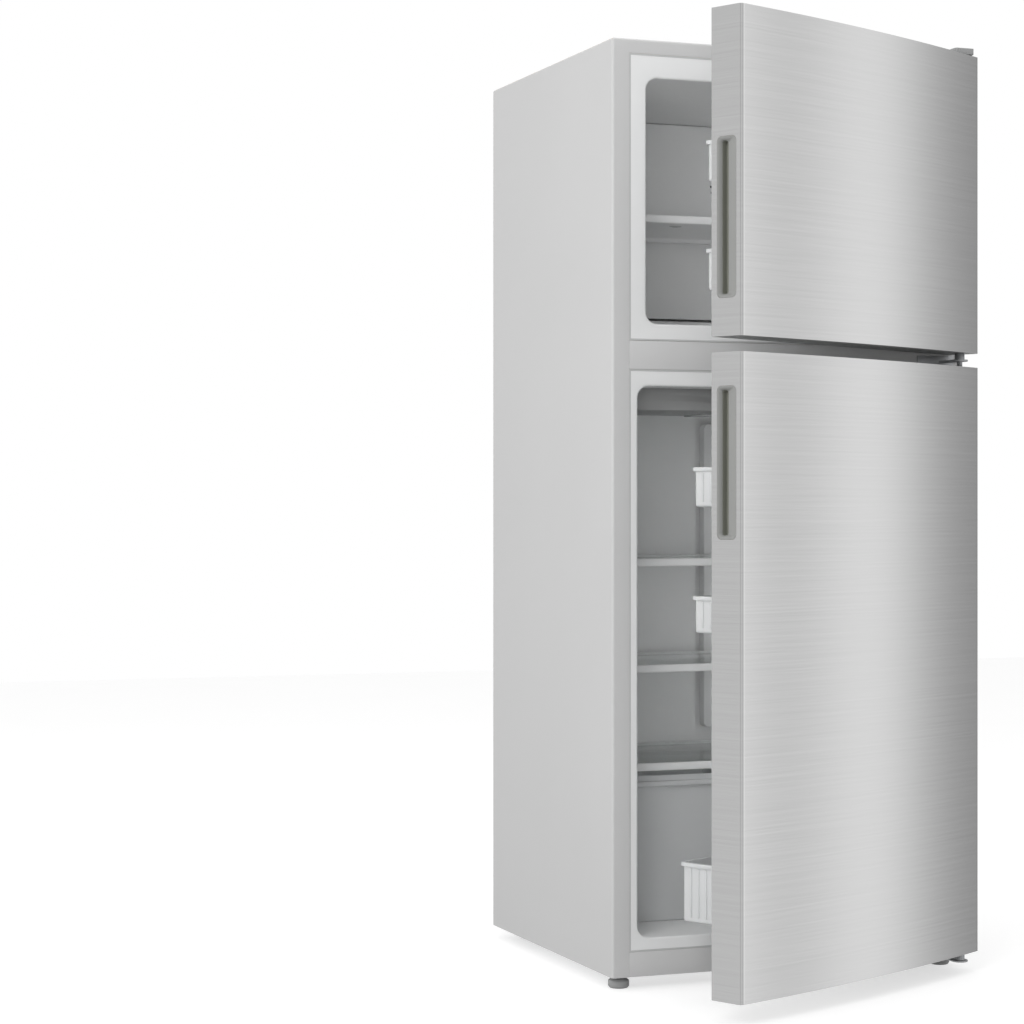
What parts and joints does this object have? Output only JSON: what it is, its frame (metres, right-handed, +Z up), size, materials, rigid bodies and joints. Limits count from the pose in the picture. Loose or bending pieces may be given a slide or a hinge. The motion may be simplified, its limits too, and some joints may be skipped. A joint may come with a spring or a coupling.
{
  "type": "top freezer refrigerator",
  "caption": "Free-standing top freezer refrigerator with a grey steel case, bowed brushed steel doors with pocket handles, shelves, crispers and door bins.",
  "frame": {"origin": "on the floor, at the centre of the object's box with both doors ajar as stored", "axes": "+Z up, the doors face -Y, +X is the hinge side"},
  "size_m": [0.7049, 0.9634, 1.6918],
  "materials": {
    "case_paint": "satin",
    "galvanised": "satin",
    "brushed_steel": "satin",
    "liner_white": "satin",
    "trim_grey": "satin",
    "gasket_grey": "matte",
    "foam": "matte",
    "shelf_glass": "polished",
    "clear_plastic": "gloss",
    "shelf_white": "satin",
    "black_paint": "satin",
    "black_plastic": "satin",
    "aluminium": "satin"
  },
  "bodies": {
    "cabinet": {"case_wrapper": "case_paint", "back_panel": "galvanised", "base_pan": "galvanised", "case_foam": "foam", "freezer_liner": "liner_white", "fridge_liner": "liner_white", "mullion_rail": "case_paint", "bottom_rail": "case_paint", "top_hinge_bracket": "galvanised", "middle_hinge_bracket": "galvanised", "bottom_hinge_bracket": "galvanised", "top_hinge_cover": "trim_grey", "freezer_shelf": "shelf_white", "shelf_upper_frame": "shelf_white", "shelf_upper_glass": "shelf_glass", "shelf_lower_frame": "shelf_white", "shelf_lower_glass": "shelf_glass", "crisper_cover_frame": "shelf_white", "crisper_cover_glass": "shelf_glass", "ceiling_housing": "trim_grey", "light_lens": "clear_plastic", "evaporator_cover": "liner_white", "evaporator": "aluminium", "air_duct_cover": "liner_white", "evaporator_fan_motor": "black_plastic", "compressor_plate": "galvanised", "compressor": "black_paint", "condenser_coil": "aluminium", "drip_tray": "black_plastic", "machine_cover": "galvanised", "condenser_fan_shroud": "black_plastic"},
    "freezer_door": {"freezer_door_skin": "brushed_steel", "freezer_door_foam": "foam", "freezer_door_top_cap": "trim_grey", "freezer_door_bottom_cap": "trim_grey", "freezer_door_handle": "trim_grey", "freezer_door_liner": "liner_white", "freezer_door_gasket": "gasket_grey", "freezer_bin_lower": "clear_plastic", "freezer_bin_upper": "clear_plastic"},
    "fridge_door": {"fridge_door_skin": "brushed_steel", "fridge_door_foam": "foam", "fridge_door_top_cap": "trim_grey", "fridge_door_bottom_cap": "trim_grey", "fridge_door_handle": "trim_grey", "fridge_door_liner": "liner_white", "fridge_door_gasket": "gasket_grey", "fridge_bin_lower": "clear_plastic", "fridge_bin_middle": "clear_plastic", "fridge_bin_upper": "clear_plastic"},
    "left_crisper": {"crisper_left": "clear_plastic"},
    "right_crisper": {"crisper_right": "clear_plastic"},
    "knob": {"temperature_knob": "trim_grey"},
    "door_switch": {"door_switch_button": "shelf_white"},
    "freezer_fan": {"evaporator_fan": "black_plastic"},
    "machine_fan": {"condenser_fan": "black_plastic"},
    "left_foot": {"foot_left": "trim_grey"},
    "right_foot": {"foot_right": "trim_grey"},
    "left_roller": {"roller_left": "black_plastic"},
    "right_roller": {"roller_right": "black_plastic"}
  },
  "joints": [
    {"name": "freezer_door_swing", "type": "hinge", "parent": "cabinet", "child": "freezer_door", "pos_m": [0.3209, -0.17301, 1.406], "axis": [0, 0, 1], "range_deg": [-25.6, 94.4]},
    {"name": "fridge_door_swing", "type": "hinge", "parent": "cabinet", "child": "fridge_door", "pos_m": [0.3209, -0.17301, 0.5725], "axis": [0, 0, 1], "range_deg": [-25.6, 94.4]},
    {"name": "left_crisper_slide", "type": "slide", "parent": "cabinet", "child": "left_crisper", "axis": [0, -1, 0], "range_m": [0, 0.13]},
    {"name": "right_crisper_slide", "type": "slide", "parent": "cabinet", "child": "right_crisper", "axis": [0, -1, 0], "range_m": [0, 0.04]},
    {"name": "temperature_knob_turn", "type": "hinge", "parent": "cabinet", "child": "knob", "pos_m": [-0.09, -0.07031, 1.047], "axis": [0, 1, 0], "range_deg": [0, 270]},
    {"name": "door_switch_press", "type": "slide", "parent": "cabinet", "child": "door_switch", "axis": [0, 1, 0], "range_m": [0, 0.006], "stiffness_N_per_m": 120},
    {"name": "evaporator_fan_spin", "type": "hinge", "parent": "cabinet", "child": "freezer_fan", "pos_m": [0.11, 0.37369, 1.492], "axis": [0, 1, 0], "continuous": true},
    {"name": "condenser_fan_spin", "type": "hinge", "parent": "cabinet", "child": "machine_fan", "pos_m": [0, 0.39334, 0.1315], "axis": [1, 0, 0], "continuous": true},
    {"name": "left_foot_turn", "type": "hinge", "parent": "cabinet", "child": "left_foot", "pos_m": [-0.325, -0.09231, 0.01], "axis": [0, 0, 1], "continuous": true},
    {"name": "right_foot_turn", "type": "hinge", "parent": "cabinet", "child": "right_foot", "pos_m": [0.325, -0.09231, 0.01], "axis": [0, 0, 1], "continuous": true},
    {"name": "left_roller_spin", "type": "hinge", "parent": "cabinet", "child": "left_roller", "pos_m": [-0.3, 0.43769, 0.02], "axis": [1, 0, 0], "continuous": true},
    {"name": "right_roller_spin", "type": "hinge", "parent": "cabinet", "child": "right_roller", "pos_m": [0.3, 0.43769, 0.02], "axis": [1, 0, 0], "continuous": true}
  ]
}
